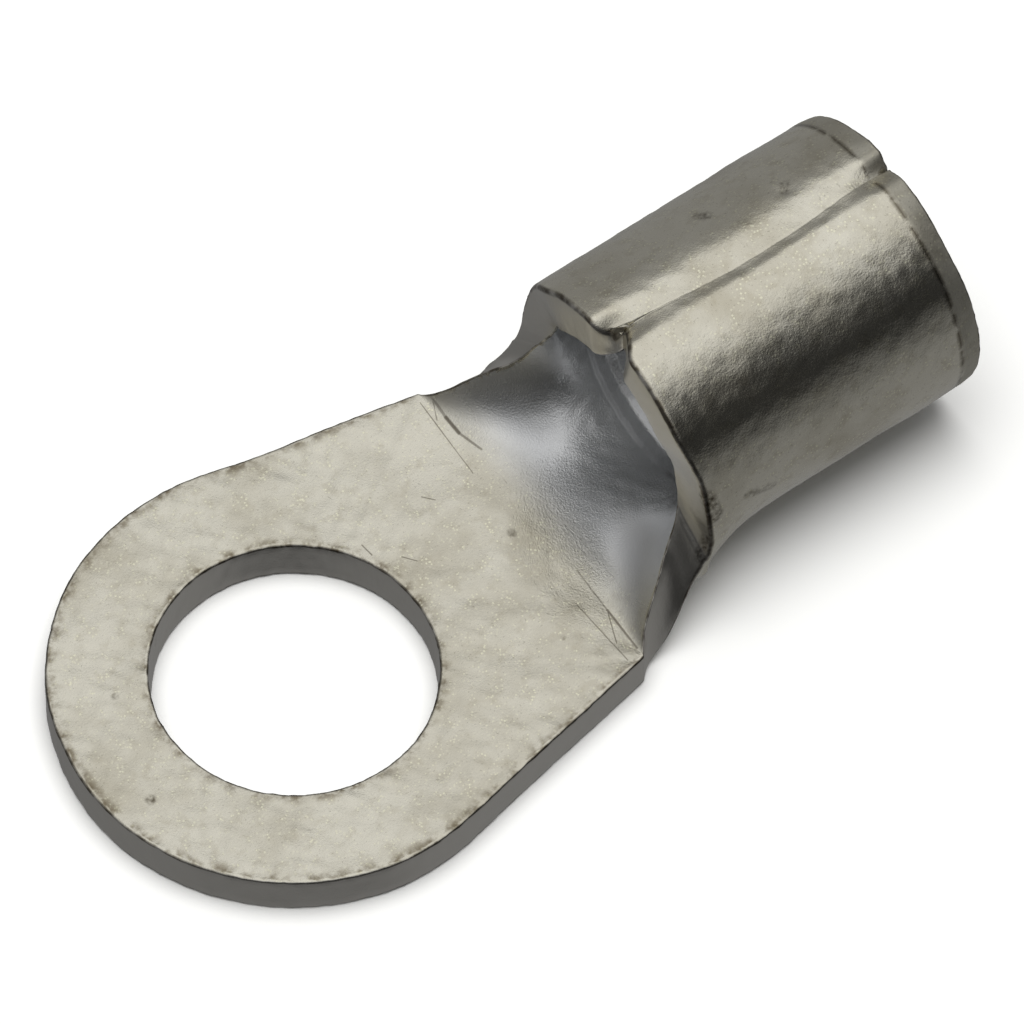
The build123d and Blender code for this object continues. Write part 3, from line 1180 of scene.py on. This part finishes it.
@dataclass(frozen=True)
class DullTin:
    """Dull electroplated tin on rolled copper sheet.

    The eye sees a warm light grey, silky and not mirror-like, with the plating's fine grain and pale
    flecks, greyer and smoother cut faces, and brown tarnish and dirt where the sheet was cut and handled.
    Some dark marks are painted shade: along the sharp fold at the crease and on the right wing's bent lip.
    The metallic base is tin's, a little yellowed, and the roughness is that of a dull bath, between 0.2
    and 0.4, rougher where forming has stretched the inside of the neck.
    """

    face: str = "eeeadb"
    layers: tuple[Layer, ...] = (
        Layer("b5ab90", "cloud", 0.45, 0.75, 0.45),
        Layer("b5ab90", "blotch", 0.5, 0.75, 0.35),
        Layer("fffce2", "dots", 0.36, 0.16, mask="clusters"),
        Layer("4f4433", "speck", 0.36, 0.3, 0.25),
        Layer("f0f1f2", "stretched"),
        Layer("dedbd4", "cut_face"),
        Layer("8a8983", "band", strength=0.3),
        Layer("4f4433", "blotch", 0.4, 0.55, 0.8, "line"),
        Layer("4f4433", "blotch", 0.33, 0.58, 0.85, "rim"),
        Layer("6f6046", "blotch", 0.42, 0.62, 0.8, "border"),
        # Brown stains, with painted shade at the right wing's front lip.
        Layer("4f4433", "pebble", 0.3, 0.7, mask="stains_and_lip_shade"),
        # Dark scratches, with painted shade along the sharp fold at the crease's +Y end.
        Layer("4f4433", "scratches_and_fold_shade"))
    roughness: tuple[float, float] = (0.18, 0.25)
    roughness_change: tuple[float, float] = (0.3, 0.7)
    stretched_roughness: float = 0.33
    worn_roughness: float = 0.5
    sheared_roughness: float = 0.33
    # The grains of the plating are a few micrometres, too fine to show, so the grain is drawn 0.034 mm wide.
    grain: float = 0.034
    grain_height: float = 0.0036
    sparkle_height: float = 0.0065
    # The copper's own rolled and formed surface under the tin is pebbled about as coarsely as its crystals.
    pebble: float = 0.09
    pebble_height: float = 0.0065
    tongue_relief: float = 0.2
    barrel_relief: float = 0.75
    relief_change: tuple[float, float] = (6.7, 7.5)
    noise_roughness: float = 0.55
    speck: float = 0.05
    fleck_spacing: float = 0.075
    blotch: float = 0.3
    cloud: float = 1.6
    band_edge: tuple[float, float] = (12.97, 13.07)
    line_front: tuple[float, float] = (12.9, 12.98)
    line_back: tuple[float, float] = (13.06, 12.98)
    clusters: tuple[float, float] = (0.42, 0.6)
    mark_edge: tuple[float, float] = (1.5, 0.5)

    def mark(self, nodes: Nodes, place: Socket, mark: Mark) -> Socket:
        """Adds one mark.

        Args:
            nodes: The material's nodes.
            place: Where on the piece the surface is, in metres.
            mark: The mark.

        Returns:
            The mark's strength there, from 0 to 1.
        """
        start, end = Vector(mark.start) * MM, Vector(mark.end or mark.start) * MM
        run = end - start
        away = nodes.add("ShaderNodeVectorMath", {0: place, 1: start}, operation="SUBTRACT").outputs[0]
        if run.length:
            along = nodes.add("ShaderNodeVectorMath", {0: away, 1: run / run.length_squared},
                              operation="DOT_PRODUCT").outputs["Value"]
            held = nodes.add("ShaderNodeClamp", {"Value": along}).outputs[0]
            foot = nodes.add("ShaderNodeVectorMath", {0: run, "Scale": held}, operation="SCALE").outputs[0]
            away = nodes.add("ShaderNodeVectorMath", {0: away, 1: foot}, operation="SUBTRACT").outputs[0]
        far = nodes.add("ShaderNodeVectorMath", {0: away}, operation="LENGTH").outputs["Value"]
        outer, inner = [mark.width * share * MM for share in self.mark_edge]
        return nodes.add("ShaderNodeMapRange", {
            "Value": far, "From Min": outer, "From Max": inner, "To Max": mark.strength},
            interpolation_type="SMOOTHSTEP").outputs[0]

    def strongest(self, nodes: Nodes, place: Socket, marks: tuple[Mark, ...]) -> Socket:
        """Adds several marks, of which the strongest counts at each place.

        Args:
            nodes: The material's nodes.
            place: Where on the piece the surface is, in metres.
            marks: The marks.

        Returns:
            The strength of the marks there, from 0 to 1.
        """
        total = self.mark(nodes, place, marks[0])
        for mark in marks[1:]:
            total = nodes.add("ShaderNodeMath", {0: total, 1: self.mark(nodes, place, mark)},
                              operation="MAXIMUM").outputs[0]
        return total

    def patterns(self, nodes: Nodes) -> dict[str, Socket]:
        """Adds the patterns, the mesh's own marks and the masks that come from them.

        Args:
            nodes: The material's nodes.

        Returns:
            Their values by name.
        """
        place = nodes.add("ShaderNodeTexCoord").outputs["Object"]
        found = {label: nodes.add("ShaderNodeAttribute", attribute_name=label).outputs["Fac"]
                 for label in Skin.labels}
        for name, size, detail in (("grain", self.grain, 2.0), ("pebble", self.pebble, 3.0),
                                   ("speck", self.speck, 2.0), ("blotch", self.blotch, 4.0),
                                   ("cloud", self.cloud, 4.0)):
            found[name] = nodes.add("ShaderNodeTexNoise", {
                "Vector": place, "Scale": 1 / (size * MM), "Detail": detail,
                "Roughness": self.noise_roughness}).outputs[0]
        found["dots"] = nodes.add("ShaderNodeTexVoronoi", {
            "Vector": place, "Scale": 1 / (self.fleck_spacing * MM)}).outputs[0]
        found["along"] = nodes.add("ShaderNodeSeparateXYZ", {0: place}).outputs[0]
        rises = [("outside", "stretched", 1.0, 0.0), ("clusters", "blotch", *self.clusters)]
        rises += [(name, "along", start * MM, end * MM) for name, (start, end) in (
            ("behind", self.band_edge), ("line_front", self.line_front), ("line_back", self.line_back))]
        for name, source, low, high in rises:
            found[name] = nodes.add("ShaderNodeMapRange", {
                "Value": found[source], "From Min": low, "From Max": high}).outputs[0]
        for name, one, other in (("band", "outside", "behind"), ("line", "line_front", "line_back"),
                                 ("line", "outside", "line")):
            found[name] = nodes.add("ShaderNodeMath", {0: found[one], 1: found[other]},
                                    operation="MULTIPLY").outputs[0]
        for name, marks in (("stains_and_lip_shade", STAINS_AND_LIP_SHADE), ("scratches_and_fold_shade", SCRATCHES_AND_FOLD_SHADE)):
            found[name] = self.strongest(nodes, place, marks)
        return found

    def colour(self, nodes: Nodes, found: dict[str, Socket]) -> Socket:
        """Lays the colours over each other.

        Args:
            nodes: The material's nodes.
            found: The patterns and masks.

        Returns:
            The colour.
        """
        colour = linear(self.face)
        for layer in self.layers:
            strength = nodes.add("ShaderNodeMapRange", {
                "Value": found[layer.pattern], "From Min": layer.low, "From Max": layer.high,
                "To Max": layer.strength}).outputs[0]
            if layer.mask:
                strength = nodes.add("ShaderNodeMath", {0: found[layer.mask], 1: strength},
                                     operation="MULTIPLY").outputs[0]
            colour = nodes.add("ShaderNodeMix", {"Factor": strength, 6: colour, 7: linear(layer.colour)},
                               data_type="RGBA").outputs[2]
        return colour

    def gloss(self, nodes: Nodes, found: dict[str, Socket]) -> Socket:
        """Finds the roughness, cloudy on the faces and plain where the sheet is worn, formed or cut.

        Args:
            nodes: The material's nodes.
            found: The patterns and masks.

        Returns:
            The roughness.
        """
        low, high = self.roughness_change
        least, most = self.roughness
        gloss = nodes.add("ShaderNodeMapRange", {
            "Value": found["cloud"], "From Min": low, "From Max": high, "To Min": least,
            "To Max": most}).outputs[0]
        for mask, value in (("stretched", self.stretched_roughness), ("band", self.worn_roughness),
                            ("cut_face", self.sheared_roughness)):
            gloss = nodes.add("ShaderNodeMix", {"Factor": found[mask], 2: gloss, 3: value}).outputs[0]
        return gloss

    def relief(self, nodes: Nodes, found: dict[str, Socket]) -> Socket:
        """Adds the pebbled surface and the grain on it.

        Args:
            nodes: The material's nodes.
            found: The patterns and masks.

        Returns:
            The surface's direction.
        """
        start, end = [x * MM for x in self.relief_change]
        strength = nodes.add("ShaderNodeMapRange", {
            "Value": found["along"], "From Min": start, "From Max": end, "To Min": self.tongue_relief,
            "To Max": self.barrel_relief}).outputs[0]
        pebbled = nodes.add("ShaderNodeBump", {
            "Height": found["pebble"], "Strength": strength, "Distance": self.pebble_height * MM}).outputs[0]
        height = nodes.add("ShaderNodeMapRange", {
            "Value": found["stretched"], "To Min": self.grain_height * MM,
            "To Max": self.sparkle_height * MM}).outputs[0]
        return nodes.add("ShaderNodeBump", {
            "Height": found["grain"], "Distance": height, "Normal": pebbled}).outputs[0]

    def material(self) -> bpy.types.Material:
        """Makes the material.

        Returns:
            The tin, as the class says what it gives the eye.
        """
        tin = bpy.data.materials.new("Tin, dull electroplated on rolled copper")
        tin.use_nodes = True
        nodes = Nodes(tin.node_tree)
        found = self.patterns(nodes)
        shade = nodes.add("ShaderNodeBsdfPrincipled", {
            "Base Color": self.colour(nodes, found), "Metallic": 1.0, "Roughness": self.gloss(nodes, found),
            "Normal": self.relief(nodes, found)})
        nodes.add("ShaderNodeOutputMaterial", {"Surface": shade.outputs[0]})
        return tin


def main() -> None:
    """Builds the terminal and its studio, and reports each piece."""
    logging.basicConfig(level=logging.INFO, format="%(message)s")
    terminal = Terminal().build()
    terminal.data.materials.append(DullTin().material())
    studio = Studio()
    studio.floor()
    studio.light()
    studio.surroundings()
    PhotoCamera().place()
    bpy.context.scene.view_settings.view_transform = "Standard"
    logger.info("terminal, floor, light, surroundings and camera are in place")


if __name__ == "__main__":
    main()
